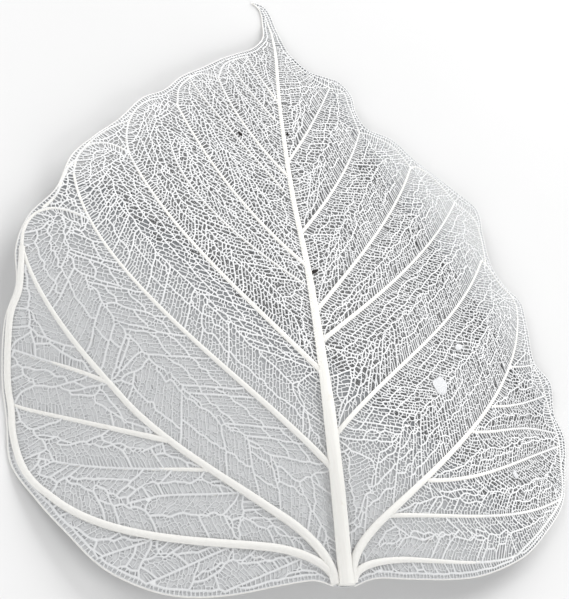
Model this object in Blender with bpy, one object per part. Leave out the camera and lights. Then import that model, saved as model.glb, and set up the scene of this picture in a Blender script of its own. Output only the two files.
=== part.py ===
"""Skeleton leaf of a bodhi fig: bleached veins of one leaf, lying rib side up.

The blade is gone and only the veins are left: a midrib, arching lateral veins with their
branches, a thick vein along the scalloped margin, and the raised net between them. All of it
grew as one piece, so it is one closed solid, gently arched over the surface it lies on, with
its underside flat and its ridges on top.

Sizes are in millimetres in the leaf's own plane (x across, y from the base to the drip tip)
and become metres when the solid is made.
"""
import heapq
import math
import random

import bmesh
import bpy
from mathutils import Matrix, Vector, geometry, kdtree

MM = 0.001

# Middle of the leaf's outline, which becomes the origin on the surface.
OUTLINE_MIDDLE = (2.64, 59.68)

# The arch: height of the crown over the surface, and how the leaf falls away from it.
CROWN = (0.0, 45.0)
CROWN_REACH = (57.0, 73.0)
CROWN_RISE = 3.4
MARGIN_CLEARANCE = 1.6
MARGIN_WAVE = 0.8
MARGIN_WAVES = 7
WAVE_PHASE = 0.6

# The three low points that carry the leaf: left lobe, right lobe and drip tip.
LOW_POINTS = [(-48.0, 26.0), (52.5, 25.0), (3.5, 118.0)]
LOW_POINT_REACH = 8.0
LOW_POINT_PRESS = 0.35

# Outline of the blade, through the crests and hollows of its scallops, base to tip.
RIGHT_MARGIN = [
    (1.0, -0.3), (5.0, 0.5), (10.9, 0.3), (19.6, 0.0), (27.0, 0.8), (36.0, 3.9),
    (43.5, 7.9), (49.5, 12.2), (53.0, 18.0), (54.6, 25.0), (53.3, 30.5), (54.1, 36.5),
    (51.0, 40.5), (52.4, 48.4), (52.0, 54.0), (48.5, 57.0), (46.2, 61.5), (46.3, 68.5),
    (46.6, 74.6), (42.0, 78.0), (36.8, 82.0), (32.7, 85.0), (28.3, 88.8), (22.7, 90.2),
    (20.5, 93.5), (20.2, 98.0), (18.0, 101.3), (14.5, 101.8), (10.5, 102.2), (7.4, 106.2),
    (6.5, 111.6), (5.9, 117.0), (4.4, 120.3),
]
LEFT_MARGIN = [
    (-2.4, -0.3), (-5.5, 0.6), (-10.5, 0.4), (-18.8, -0.7), (-25.8, -0.6), (-31.3, 1.0),
    (-36.5, 4.0), (-40.8, 8.5), (-44.5, 13.0), (-47.6, 18.5), (-48.3, 25.0), (-49.2, 32.0),
    (-49.1, 39.0), (-47.6, 45.0), (-47.4, 51.5), (-45.4, 57.5), (-41.2, 63.1), (-38.6, 70.0),
    (-35.0, 75.0), (-30.4, 79.7), (-26.0, 85.5), (-21.5, 88.4), (-17.5, 92.8), (-13.0, 96.4),
    (-9.0, 99.5), (-5.5, 102.6), (-1.0, 105.6), (2.4, 110.0), (3.3, 115.0), (2.9, 119.0),
]
TIP_END = (1.6, 121.0)

# Midrib, base to tip.
MIDRIB = [
    (-0.7, -0.3), (0.2, 14.0), (1.0, 34.0), (1.3, 53.0), (0.9, 68.0), (1.5, 84.0),
    (2.5, 95.5), (4.3, 107.6), (4.9, 113.7), (4.2, 118.6), (2.6, 120.4),
]

# Lateral veins and their branches: four handles of a curve from root to end, root width.
SIDE_VEINS = [
    # Right half, from the base up.
    ((-0.5, 1.5), (11.5, 6.0), (23.5, 0.5), (34.5, 3.5), 1.1),
    ((-0.4, 2.5), (16.0, 18.0), (39.5, 26.5), (49.0, 47.0), 1.4),
    ((0.7, 23.5), (17.0, 34.5), (32.0, 46.0), (45.6, 61.5), 1.2),
    ((1.1, 39.5), (15.5, 49.5), (30.0, 60.5), (42.5, 76.5), 1.1),
    ((1.2, 45.0), (12.5, 57.0), (23.5, 68.5), (32.2, 84.2), 1.1),
    ((1.1, 60.5), (8.5, 69.0), (15.5, 78.0), (21.5, 89.6), 1.0),
    ((1.2, 77.0), (6.0, 84.0), (11.5, 91.0), (15.3, 100.8), 0.9),
    ((10.0, 10.0), (23.0, 10.0), (36.5, 9.0), (49.0, 13.5), 0.9),
    ((19.0, 16.0), (31.0, 15.0), (41.5, 21.5), (53.5, 24.0), 0.9),
    ((31.0, 25.0), (38.5, 24.5), (45.5, 28.5), (53.0, 29.0), 0.8),
    ((39.5, 32.0), (44.0, 32.0), (48.5, 33.0), (53.0, 34.5), 0.8),
    # Left half, from the base up.
    ((-0.6, 1.5), (-12.5, 10.0), (-32.0, 3.5), (-44.0, 13.0), 1.1),
    ((-0.4, 2.5), (-17.5, 17.5), (-43.0, 28.0), (-46.5, 52.0), 1.4),
    ((0.4, 17.5), (-14.5, 32.5), (-36.5, 47.0), (-38.3, 70.0), 1.2),
    ((1.0, 34.5), (-11.0, 46.5), (-24.5, 58.0), (-29.4, 80.5), 1.1),
    ((1.3, 54.5), (-6.5, 64.0), (-16.0, 73.5), (-20.6, 88.8), 1.1),
    ((1.0, 73.5), (-4.0, 80.0), (-8.5, 86.5), (-11.0, 97.8), 0.9),
    ((2.0, 90.5), (0.5, 94.5), (-2.5, 97.5), (-3.4, 103.8), 0.8),
    ((-16.5, 7.0), (-21.0, 5.0), (-26.0, 3.0), (-31.0, 1.0), 0.8),
    ((-23.5, 18.0), (-29.5, 17.5), (-36.0, 16.5), (-46.2, 17.0), 0.9),
    ((-29.5, 23.5), (-35.5, 22.5), (-41.0, 26.0), (-48.5, 27.0), 0.8),
    ((-37.5, 32.0), (-40.5, 32.5), (-44.5, 35.0), (-49.0, 36.0), 0.8),
]

MIDRIB_WIDTH = (2.9, 0.9)
MIDRIB_HEIGHT = (1.9, 0.8)
VEIN_END_WIDTH = 0.7
VEIN_HEIGHT_RATIO = 0.85
MARGIN_WIDTH = 1.0
MARGIN_HEIGHT = 0.75
NET_WIDTH = 0.62
NET_HEIGHT = 0.62

# The net: meshes a little under 4 mm across, larger than life, slanting out from each vein.
MESH_PITCH = 4.1
FIRST_ROW = 1.9
ROW_PITCH = 3.8
STRAND_SLANT = math.radians(55.0)
NEAREST_MESHES = 2.85
LONGEST_ROW = 14.0
NARROWEST_ROW = 0.8
WIDEST_BARE = 3.4
PAIR_SPACING = 2.3
MESH_JITTER = 0.35
NET_SEED = 11
SHORTEST_STRAND = 1.0
LONGEST_MARGIN_RUN = 2.5

# How far a chain of strands may stray from a vein's line, how straight two strands run
# before their corner counts as flat, the smallest hole left open in square millimetres, and
# the shares of their width that the strands round a crowded mesh may have.
STRAY = 0.8
STRAIGHT = 0.35
SMALLEST_HOLE = 0.25
SLIMMER_STRANDS = (1.0, 0.85, 0.7, 0.55, 0.4)

CURVE_STEP = 0.5


def remove_scene_objects():
    """Start from an empty scene."""
    for scene_object in list(bpy.data.objects):
        bpy.data.objects.remove(scene_object, do_unlink=True)


def through(points, step=CURVE_STEP):
    """Points about one step apart along a smooth curve through the given points."""
    knots = [Vector(p).to_2d() for p in points]
    ends = [knots[0] * 2 - knots[1]] + knots + [knots[-1] * 2 - knots[-2]]
    line = []
    for a, b, c, d in zip(ends, ends[1:], ends[2:], ends[3:]):
        count = max(1, round((c - b).length / step))
        for i in range(count):
            t = i / count
            line.append(0.5 * (2 * b + (c - a) * t + (2 * a - 5 * b + 4 * c - d) * t ** 2
                               + (3 * b - a - 3 * c + d) * t ** 3))
    line.append(knots[-1])
    return line


def vein_line(handles, step=CURVE_STEP):
    """Points about one step apart along a vein given by the four handles of its curve."""
    corners = [Vector((*p, 0.0)) for p in handles]
    length = sum((b - a).length for a, b in zip(corners, corners[1:]))
    count = max(3, round(length / step))
    return [p.to_2d() for p in geometry.interpolate_bezier(*corners, count)]


def tangent(line, i):
    """Unit direction of a line at its point i."""
    ahead = line[min(i + 1, len(line) - 1)]
    behind = line[max(i - 1, 0)]
    return (ahead - behind).normalized()


def inside(point, outline):
    """True where a point lies inside a closed outline."""
    odd = False
    for a, b in zip(outline, outline[1:] + outline[:1]):
        if (a.y > point.y) != (b.y > point.y):
            crossing = a.x + (point.y - a.y) * (b.x - a.x) / (b.y - a.y)
            if crossing > point.x:
                odd = not odd
    return odd


def tree_of(points):
    """A search tree over points of the plane."""
    tree = kdtree.KDTree(len(points))
    for i, point in enumerate(points):
        tree.insert(point.to_3d(), i)
    tree.balance()
    return tree


def rise(x, y):
    """Height of the arched leaf over the surface, before its low points are pressed down."""
    dx = (x - CROWN[0]) / CROWN_REACH[0]
    dy = (y - CROWN[1]) / CROWN_REACH[1]
    out = dx * dx + dy * dy
    turn = math.atan2(x - CROWN[0], y - CROWN[1])
    wave = MARGIN_WAVE * min(out, 1.3) ** 2 * math.sin(MARGIN_WAVES * turn + WAVE_PHASE)
    return CROWN_RISE * (1.0 - min(out, 1.6)) + MARGIN_CLEARANCE + wave


def underside(x, y):
    """Height of the underside: the arch, pressed flat on the surface at its low points."""
    height = rise(x, y)
    for px, py in LOW_POINTS:
        near = math.exp(-((x - px) ** 2 + (y - py) ** 2) / (2 * LOW_POINT_REACH ** 2))
        height -= (rise(px, py) + LOW_POINT_PRESS) * near
    return max(height, 0.0)


def mesh_pair(line, i, offset):
    """Two mesh centres facing each other across a vein."""
    along = tangent(line, i)
    across = Vector((-along.y, along.x)) * offset
    return [line[i] + across, line[i] - across]


def place_meshes(midrib, side_veins, outline):
    """Centres of the net's meshes: rows along every vein, slanted rows, then what is bare."""
    draw = random.Random(NET_SEED)
    centres = []
    every = round(MESH_PITCH / CURVE_STEP)

    def is_free(point, distance):
        return all((point - other).length > distance for other in centres)

    def add_row(line, facing, spacing):
        """Pairs along one line, closer to it where the facing line is near, as in the tip."""
        tree = tree_of(facing)
        for i in range(spacing // 2, len(line), spacing):
            gap = tree.find(line[i].to_3d())[2]
            offset = min(FIRST_ROW, max(gap / 2, NARROWEST_ROW))
            pair = mesh_pair(line, i, offset)
            if all(is_free(point, PAIR_SPACING * offset / FIRST_ROW) for point in pair):
                centres.extend(pair)

    add_row(outline, midrib, every)
    add_row(midrib, outline, every)
    for line in side_veins:
        add_row(line, line[:1], every)

    veins = [midrib] + side_veins
    vein_of = [k for k, line in enumerate(veins) for _ in line]
    tree = tree_of([point for line in veins for point in line])
    for k, line in enumerate(veins):
        for i in range(every // 2, len(line), every):
            along = tangent(line, i)
            for side in (-1.0, 1.0):
                lean = math.copysign(math.pi / 2 - STRAND_SLANT, along.x * side)
                slant = Vector((-along.y, along.x)) * side
                slant.rotate(Matrix.Rotation(-lean, 2))
                reach = FIRST_ROW + ROW_PITCH
                while reach < LONGEST_ROW:
                    point = line[i] + slant * reach
                    point += Vector((draw.uniform(-1, 1), draw.uniform(-1, 1))) * MESH_JITTER
                    if vein_of[tree.find(point.to_3d())[1]] != k:
                        break
                    if inside(point, outline) and is_free(point, NEAREST_MESHES):
                        centres.append(point)
                    reach += ROW_PITCH

    low = Vector((min(p.x for p in outline), min(p.y for p in outline)))
    high = Vector((max(p.x for p in outline), max(p.y for p in outline)))
    for row in range(int(high.y - low.y)):
        for column in range(int(high.x - low.x)):
            point = low + Vector((column, row))
            if is_free(point, WIDEST_BARE) and inside(point, outline):
                centres.append(point)
    return centres


def circle_centre(a, b, c):
    """Centre of the circle through three points."""
    ab = b - a
    ac = c - a
    twice = 2.0 * ab.cross(ac)
    x = ac.y * ab.length_squared - ab.y * ac.length_squared
    y = ab.x * ac.length_squared - ac.x * ab.length_squared
    return a + Vector((x, y)) / twice


def net_of_meshes(centres, outline):
    """A flat mesh whose faces are the meshes of the net and whose edges are its strands."""
    points, _, triangles, _, _, _ = geometry.delaunay_2d_cdt(centres, [], [], 0, 1e-6)
    corners = [circle_centre(*(points[i] for i in triangle)) for triangle in triangles]
    around = [[] for _ in points]
    for corner, triangle in enumerate(triangles):
        for i in triangle:
            around[i].append(corner)
    net = bmesh.new()
    verts = [net.verts.new(corner.to_3d()) for corner in corners]
    for centre, ring in zip(points, around):
        if inside(centre, outline):
            ring.sort(key=lambda k: math.atan2(*(corners[k] - centre).yx))
            net.faces.new([verts[k] for k in ring])
    loose = [vert for vert in net.verts if not vert.link_faces]
    bmesh.ops.delete(net, geom=loose, context='VERTS')
    bmesh.ops.remove_doubles(net, verts=net.verts[:], dist=SHORTEST_STRAND)
    return net


def snap(vert, tree):
    """Move a vert onto the nearest point that a search tree holds."""
    vert.co = tree.find(vert.co)[0]


def nearest_vert(point, verts):
    """The vert closest to a point of the plane."""
    return min(verts, key=lambda vert: (vert.co.to_2d() - point).length)


def route(net, start, goal, tree):
    """Verts from start to goal along the strands that keep closest to a vein's line."""
    best = {start: 0.0}
    came = {}
    queue = [(0.0, start.index, start)]
    while queue:
        cost, _, vert = heapq.heappop(queue)
        if vert == goal:
            break
        for edge in vert.link_edges:
            other = edge.other_vert(vert)
            off = tree.find((vert.co + other.co) / 2)[2] + tree.find(other.co)[2]
            total = cost + edge.calc_length() * (1.0 + (off / STRAY) ** 2)
            if total < best.get(other, math.inf):
                best[other] = total
                came[other] = vert
                heapq.heappush(queue, (total, other.index, other))
    path = [goal]
    while path[-1] != start:
        path.append(came[path[-1]])
    return path[::-1]


def lay_vein(net, line, starts, goals, widths, heights, layers, fixed):
    """Turn a chain of strands into a vein: on its line, wider and higher, tapering to its end."""
    tree = tree_of(line)
    start = nearest_vert(line[0], starts)
    goal = nearest_vert(line[-1], goals)
    path = route(net, start, goal, tree)
    for i, vert in enumerate(path):
        t = i / (len(path) - 1)
        if vert not in fixed and 0 < tree.find(vert.co)[1] < len(line) - 1:
            snap(vert, tree)
            fixed.add(vert)
        height = heights[0] + (heights[1] - heights[0]) * t
        vert[layers.height] = max(vert[layers.height], height)
    for i, (a, b) in enumerate(zip(path, path[1:])):
        edge = net.edges.get((a, b))
        t = (i + 0.5) / (len(path) - 1)
        edge[layers.half] = max(edge[layers.half], (widths[0] + (widths[1] - widths[0]) * t) / 2)
    return path


def lay_margin(net, outline, layers):
    """Turn the border of the net into the margin vein: on the outline, wider and higher."""
    rough = [edge for edge in net.edges if edge.is_boundary]
    tree = tree_of(outline)
    for vert in {vert for edge in rough for vert in edge.verts}:
        snap(vert, tree)
    straight = [edge for edge in rough if edge.calc_length() > LONGEST_MARGIN_RUN]
    bmesh.ops.subdivide_edges(net, edges=straight, cuts=1)
    border = [vert for vert in net.verts if vert.is_boundary]
    for vert in border:
        snap(vert, tree)
        vert[layers.height] = MARGIN_HEIGHT
    for edge in net.edges:
        if edge.is_boundary:
            edge[layers.half] = MARGIN_WIDTH / 2
    return border


class Layers:
    """Half the width of each strand, the height of each joint, and which verts are edges."""

    def __init__(self, net):
        self.half = net.edges.layers.float.new('half')
        self.height = net.verts.layers.float.new('height')
        self.rim = net.verts.layers.int.new('rim')


def corner_offset(point, before, after, half_before, half_after):
    """From a strand joint to the corner of the hole on its left, between two strands."""
    back = (before - point).normalized()
    ahead = (after - point).normalized()
    spread = ahead.cross(back)
    if abs(spread) < STRAIGHT and ahead.dot(back) < 0:
        return Vector((-ahead.y, ahead.x)) * (half_before + half_after) / 2
    spread = math.copysign(max(abs(spread), STRAIGHT), spread)
    return (back * half_after + ahead * half_before) / spread


def ring_area(ring):
    """Area of a closed ring of points, positive when it runs anticlockwise."""
    return sum(a.cross(b) for a, b in zip(ring, ring[1:] + ring[:1])) / 2


def hole_corners(face, layers):
    """Corners of the hole in one mesh of the net, or None where its strands fill it.

    Strands too wide for a crowded mesh are drawn in by steps until a hole is left.
    """
    loops = face.loops
    joints = [loop.vert.co.to_2d() for loop in loops]
    for slimness in SLIMMER_STRANDS:
        corners = []
        for i, loop in enumerate(loops):
            half_after = loop.edge[layers.half] * slimness
            half_before = loop.link_loop_prev.edge[layers.half] * slimness
            offset = corner_offset(joints[i], joints[i - 1], joints[(i + 1) % len(joints)],
                                   half_before, half_after)
            corners.append(joints[i] + offset)
        turned = any((corners[i] - corners[i - 1]).dot(joints[i] - joints[i - 1]) <= 0
                     for i in range(len(joints)))
        if not turned and abs(ring_area(corners)) > SMALLEST_HOLE:
            return [corner.to_3d() for corner in corners]
    return None


def open_meshes(net, layers):
    """Cut the hole of each mesh, and put the outer edge round the whole leaf."""
    border = [edge for edge in net.edges if edge.is_boundary]
    away = {}
    for edge in border:
        a, b = edge.verts
        outward = Vector((b.co.y - a.co.y, a.co.x - b.co.x, 0.0)).normalized()
        if outward.dot(a.co - edge.link_faces[0].calc_center_median()) < 0:
            outward = -outward
        for vert in edge.verts:
            away[vert] = away.get(vert, Vector()) + outward
    outer = {}
    for vert, outward in away.items():
        half = max(edge[layers.half] for edge in vert.link_edges)
        outer[vert] = net.verts.new(vert.co + outward.normalized() * half)
        outer[vert][layers.rim] = 1
    holes = {face: hole_corners(face, layers) for face in net.faces}
    holes = {face: corners for face, corners in holes.items() if corners}
    for edge in border:
        a, b = edge.verts
        net.faces.new((a, b, outer[b], outer[a]))
    bmesh.ops.inset_individual(net, faces=list(holes), thickness=0.01)
    for face, corners in holes.items():
        for vert, corner in zip(face.verts, corners):
            vert.co = corner
            vert[layers.rim] = 1
    bmesh.ops.delete(net, geom=list(holes), context='FACES_ONLY')


def close_solid(net, layers):
    """Give the flat strands their arched underside and their ridged top."""
    bmesh.ops.triangulate(net, faces=net.faces[:])
    top = net.verts[:]
    copy = bmesh.ops.duplicate(net, geom=net.verts[:] + net.edges[:] + net.faces[:])['geom']
    bottom_faces = [item for item in copy if isinstance(item, bmesh.types.BMFace)]
    bmesh.ops.reverse_faces(net, faces=bottom_faces)
    for vert in top:
        if not vert[layers.rim]:
            vert.co.z = vert[layers.height]
    rims = [vert for vert in net.verts if vert[layers.rim]]
    bmesh.ops.remove_doubles(net, verts=rims, dist=1e-5)
    for vert in net.verts:
        vert.co.z += underside(vert.co.x, vert.co.y)
    bmesh.ops.recalc_face_normals(net, faces=net.faces[:])
    bmesh.ops.translate(net, verts=net.verts[:], vec=(-OUTLINE_MIDDLE[0], -OUTLINE_MIDDLE[1], 0.0))
    bmesh.ops.scale(net, verts=net.verts[:], vec=(MM, MM, MM))


def leaf_mesh():
    """The whole skeleton leaf as one closed mesh."""
    midrib = through(MIDRIB)
    side_veins = [vein_line(vein[:4]) for vein in SIDE_VEINS]
    outline = through(RIGHT_MARGIN + [TIP_END] + LEFT_MARGIN[::-1])
    net = net_of_meshes(place_meshes(midrib, side_veins, outline), outline)
    layers = Layers(net)
    for edge in net.edges:
        edge[layers.half] = NET_WIDTH / 2
    for vert in net.verts:
        vert[layers.height] = NET_HEIGHT
    border = lay_margin(net, outline, layers)
    fixed = set(border)
    rib = lay_vein(net, midrib, border, border, MIDRIB_WIDTH, MIDRIB_HEIGHT, layers, fixed)
    laid = list(rib)
    for line, vein in zip(side_veins, SIDE_VEINS):
        width = vein[4]
        widths = (width, VEIN_END_WIDTH)
        heights = (width * VEIN_HEIGHT_RATIO, NET_HEIGHT)
        laid += lay_vein(net, line, laid, border, widths, heights, layers, fixed)
    bmesh.ops.remove_doubles(net, verts=net.verts[:], dist=SHORTEST_STRAND / 2)
    open_meshes(net, layers)
    close_solid(net, layers)
    mesh = bpy.data.meshes.new('leaf')
    net.to_mesh(mesh)
    net.free()
    return mesh


def bleached_vein():
    """Bleached vein tissue: dry, matt and cream white."""
    material = bpy.data.materials.new('bleached_vein')
    material.use_nodes = True
    shader = material.node_tree.nodes['Principled BSDF']
    shader.inputs['Base Color'].default_value = (0.86, 0.84, 0.79, 1.0)
    shader.inputs['Roughness'].default_value = 0.8
    shader.inputs['Metallic'].default_value = 0.0
    return material


remove_scene_objects()
collection = bpy.data.collections.new('skeleton_leaf')
bpy.context.scene.collection.children.link(collection)
leaf = bpy.data.objects.new('leaf', leaf_mesh())
leaf.data.materials.append(bleached_vein())
collection.objects.link(leaf)
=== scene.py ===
import math
import random
from itertools import accumulate

import bmesh
import bpy
import numpy as np
from mathutils import Matrix, Vector, geometry, kdtree


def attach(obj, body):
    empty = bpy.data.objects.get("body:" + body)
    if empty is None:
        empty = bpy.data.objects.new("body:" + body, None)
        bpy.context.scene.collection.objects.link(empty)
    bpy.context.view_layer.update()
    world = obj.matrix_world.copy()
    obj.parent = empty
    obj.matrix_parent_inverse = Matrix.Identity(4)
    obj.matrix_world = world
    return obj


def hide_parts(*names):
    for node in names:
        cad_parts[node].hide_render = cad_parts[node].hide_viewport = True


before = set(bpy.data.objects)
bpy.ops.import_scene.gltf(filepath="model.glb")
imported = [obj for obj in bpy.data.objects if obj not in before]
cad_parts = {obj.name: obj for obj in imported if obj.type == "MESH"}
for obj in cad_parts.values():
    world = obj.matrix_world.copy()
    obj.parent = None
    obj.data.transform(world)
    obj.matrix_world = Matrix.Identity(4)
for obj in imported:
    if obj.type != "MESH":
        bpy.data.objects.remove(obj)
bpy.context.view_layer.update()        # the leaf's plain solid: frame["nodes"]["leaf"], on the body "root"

# Midrib
# The stout main vein of the leaf: a bundle of plant fibres, bleached cream white and dry, that
# tapers from the cut base to the drip tip. It grew through the blade and carries all the rest.

# The leaf is drawn flat in mm from the midrib's foot, and laid round the middle of its outline.
MM = 0.001
OUTLINE_MIDDLE = (2.64, 59.68)

# The gentle arch in which the leaf dried, in mm: its crown, how it falls away to the waved
# margin, and the three low points of the margin that touch the surface. The fall and the wave
# stop growing at a share of the way out, squared.
CROWN = (0.0, 45.0)
CROWN_REACH = (57.0, 73.0)
CROWN_RISE = 3.4
FALL_STOPS = 1.6
MARGIN_CLEARANCE = 1.6
MARGIN_WAVE = 0.8
MARGIN_WAVES = 7
WAVE_PHASE = 0.6
WAVE_STOPS = 1.3
LOW_POINTS = [(-48.0, 26.0), (52.5, 25.0), (3.5, 118.0)]
LOW_POINT_REACH = 8.0
LOW_POINT_PRESS = 0.35

MIDRIB = [
    (-0.6, -0.4), (0.2, 14.0), (1.0, 34.0), (1.3, 53.0), (0.9, 68.0), (1.5, 84.0),
    (2.5, 95.5), (4.3, 107.6), (4.9, 113.7), (4.2, 118.6), (2.4, 120.5),
]
# Distance up the leaf and width there, both in mm.
MIDRIB_WIDTHS = [
    (-0.4, 2.7), (2.0, 2.35), (14.0, 2.35), (27.0, 2.1), (34.0, 1.75), (44.0, 1.45), (55.0, 1.1),
    (63.0, 1.0), (84.0, 0.82), (100.0, 0.68), (112.0, 0.5), (120.5, 0.3),
]
# The section of a vein: how many sides it has and how high it is for its width. On the midrib
# every fourth side stands out as a low ridge of fibre.
MIDRIB_SIDES = 28
MIDRIB_FLATNESS = 0.7
MIDRIB_RIDGE = 0.035
RIDGE_EVERY = 4
VEIN_SIDES = 8
VEIN_FLATNESS = 0.8
# In mm: the step along every vein's line, and the height at which the middle of the net and of
# the thin veins lies over the underside.
STEP = 0.5
NET_MIDDLE = 0.22
# The base and the lobe on the left have kept a pale film of old tissue: how far the film's edge
# leans, and the places in mm along the leaf's middle where there is none and where it is full.
BASE_FILM = (0.75, 40.0, 14.0)
# How much painted shade greys the veins where the film is full, at the base and the left lobe.
VEINS_SHADED = 0.24
# Degrees between two faces from which on the edge between them looks sharp.
SHARP_ON_VEIN = 60.0


def underside(x, y):
    """Height in mm of the arched leaf's underside over the surface that it lies on."""
    def rise(x, y):
        dx = (x - CROWN[0]) / CROWN_REACH[0]
        dy = (y - CROWN[1]) / CROWN_REACH[1]
        out = dx * dx + dy * dy
        turn = np.arctan2(x - CROWN[0], y - CROWN[1])
        growth = np.minimum(out, WAVE_STOPS) ** 2
        wave = MARGIN_WAVE * growth * np.sin(MARGIN_WAVES * turn + WAVE_PHASE)
        return CROWN_RISE * (1.0 - np.minimum(out, FALL_STOPS)) + MARGIN_CLEARANCE + wave

    height = rise(x, y)
    for px, py in LOW_POINTS:
        near = np.exp(-((x - px) ** 2 + (y - py) ** 2) / (2 * LOW_POINT_REACH ** 2))
        height = height - (rise(px, py) + LOW_POINT_PRESS) * near
    return np.maximum(height, 0.0)


def through(points):
    """Points about one step apart along a smooth line through the given points."""
    knots = [Vector(p) for p in points]
    ends = [knots[0] * 2 - knots[1]] + knots + [knots[-1] * 2 - knots[-2]]
    line = []
    for a, b, c, d in zip(ends, ends[1:], ends[2:], ends[3:]):
        count = max(1, round((c - b).length / STEP))
        for i in range(count):
            t = i / count
            line.append(0.5 * (2 * b + (c - a) * t + (2 * a - 5 * b + 4 * c - d) * t ** 2
                               + (3 * b - a - 3 * c + d) * t ** 3))
    line.append(knots[-1])
    return line


def tangent(line, i):
    """Unit direction of a line at its point i."""
    return (line[min(i + 1, len(line) - 1)] - line[max(i - 1, 0)]).normalized()


def grow_vein(piece, line, widths, sides=VEIN_SIDES, flatness=VEIN_FLATNESS, ridge=0.0):
    """Extrude a ring of the vein's section along its line, and add the closed vein to a bmesh."""
    bm = bmesh.new()
    last = None
    for i, point in enumerate(line):
        ahead = tangent(line, i)
        half = widths[i] / 2
        high = half * flatness
        here = Matrix(((-ahead.y * half, 0.0, ahead.x, point.x),
                       (ahead.x * half, 0.0, ahead.y, point.y),
                       (0.0, high, 0.0, max(high, NET_MIDDLE)),
                       (0.0, 0.0, 0.0, 1.0)))
        if last is None:
            ring = bmesh.ops.create_circle(bm, cap_ends=True, segments=sides, radius=1.0)['verts']
            for k, vert in enumerate(ring):
                vert.co *= 1.0 + ridge * math.cos(2 * math.pi * k / RIDGE_EVERY)
            bmesh.ops.transform(bm, matrix=here, verts=ring)
            edges = bm.edges[:]
        else:
            grown = bmesh.ops.extrude_edge_only(bm, edges=edges)['geom']
            ring = {item for item in grown if isinstance(item, bmesh.types.BMVert)}
            edges = [item for item in grown if isinstance(item, bmesh.types.BMEdge)
                     and item.verts[0] in ring and item.verts[1] in ring]
            bmesh.ops.transform(bm, matrix=here @ last.inverted(), verts=list(ring))
        last = here
    bmesh.ops.edgeloop_fill(bm, edges=edges)
    bmesh.ops.recalc_face_normals(bm, faces=bm.faces[:])
    # Painted shade: the vein is greyer over the film's reach, towards the base and the left lobe.
    clean_and_lit_layer = bm.verts.layers.float.new('clean_and_lit')
    for vert in bm.verts:
        vert[clean_and_lit_layer] = clean_and_lit_at(vert.co)
    add_to(piece, bm)


def add_to(piece, bm):
    """Move one bmesh into another."""
    passing = bpy.data.meshes.new('passing')
    bm.to_mesh(passing)
    bm.free()
    piece.from_mesh(passing)
    bpy.data.meshes.remove(passing)


def film(point, where=BASE_FILM):
    """How much of a film of old tissue lies at a place, from 0 to 1."""
    lean, none, full = where
    return min(max((lean * point.x + point.y - none) / (full - none), 0.0), 1.0)


def clean_and_lit_at(point, clean_and_lit=1.0, shaded=VEINS_SHADED):
    """How clean and lit the fibre is: painted shade greys it at the base and the left lobe."""
    return clean_and_lit * (1.0 - shaded * film(point))


def in_scene(name, data):
    """Add an object to the scene."""
    thing = bpy.data.objects.new(name, data)
    bpy.context.scene.collection.objects.link(thing)
    return thing


def lay_piece(name, bm, material, sharp=SHARP_ON_VEIN):
    """Make a bmesh in mm, grown flat, into a piece of the leaf that follows its arch."""
    mesh = bpy.data.meshes.new(name)
    bm.to_mesh(mesh)
    bm.free()
    co = np.empty(len(mesh.vertices) * 3, np.float32)
    mesh.vertices.foreach_get('co', co)
    co = co.reshape(-1, 3)
    co[:, 2] += underside(co[:, 0], co[:, 1])
    co[:, :2] -= OUTLINE_MIDDLE
    mesh.vertices.foreach_set('co', (co * MM).ravel())
    mesh.polygons.foreach_set('use_smooth', [True] * len(mesh.polygons))
    mesh.set_sharp_from_angle(angle=math.radians(sharp))
    mesh.materials.append(material)
    mesh.update()
    piece = in_scene(name, mesh)
    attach(piece, "root")
    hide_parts("leaf")


def linear(hex_colour):
    """An sRGB hex colour as linear red, green, blue and alpha."""
    parts = [int(hex_colour[i:i + 2], 16) / 255 for i in (1, 3, 5)]
    return [c / 12.92 if c <= 0.04045 else ((c + 0.055) / 1.055) ** 2.4 for c in parts] + [1.0]


def add(tree, kind, feeds=None, **settings):
    """Add a node with its settings, and feed its inputs from values or other nodes' outputs."""
    node = tree.nodes.new(kind)
    for name, value in settings.items():
        setattr(node, name, value)
    for socket, value in (feeds or {}).items():
        if isinstance(value, bpy.types.NodeSocket):
            tree.links.new(value, node.inputs[socket])
        else:
            node.inputs[socket].default_value = value
    return node


# A grey that shows through the fibre: the old tissue of the film, and painted shade on
# undersides, strand edges, thin film, the base and the left lobe.
OLD_TISSUE_AND_SHADE = '#6A6D70'
# Brown flecks lie a few mm apart, where a slow noise is at its highest.
FLECKS_PER_METRE = 420.0
FLECK_STARTS = 0.68
FLECK_FULL = 0.8
# The depth in metres of the furrows between fibres.
FURROW_DEPTH = 0.0001
# The colour inputs and the colour output of a mix node.
MIX_A, MIX_B, MIXED = 6, 7, 2


def noise(tree, place, scale, detail):
    """Output of a node that wavers between 0 and 1 from place to place."""
    feeds = {'Vector': place, 'Scale': scale, 'Detail': detail}
    return add(tree, 'ShaderNodeTexNoise', feeds).outputs['Fac']


def mixed(tree, share, a, b):
    """Output of a node that mixes a share of colour b into colour a."""
    feeds = {'Factor': share, MIX_A: a, MIX_B: b}
    return add(tree, 'ShaderNodeMix', feeds, data_type='RGBA').outputs[MIXED]


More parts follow.
